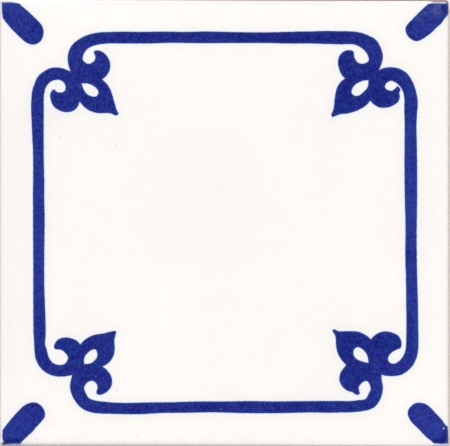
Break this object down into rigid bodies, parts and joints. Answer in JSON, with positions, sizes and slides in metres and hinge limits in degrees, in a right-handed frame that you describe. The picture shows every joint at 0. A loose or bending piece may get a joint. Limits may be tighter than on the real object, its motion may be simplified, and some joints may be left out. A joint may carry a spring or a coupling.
{
  "type": "majolica tile",
  "caption": "Square tin-glazed wall tile with a hand-painted blue frame, scrolled corner sprigs and short diagonal corner dashes; ribbed back for adhesive.",
  "frame": {"origin": "middle of the bedding face, on the rib crests of the back", "axes": "+X to the right of the painted face as the picture shows it, +Y to the head of the painted face, +Z out of the glazed face"},
  "size_m": [0.152, 0.151, 0.008],
  "materials": {
    "glazed_tile": "gloss"
  },
  "bodies": {
    "root": {"tile": "glazed_tile"}
  },
  "joints": []
}
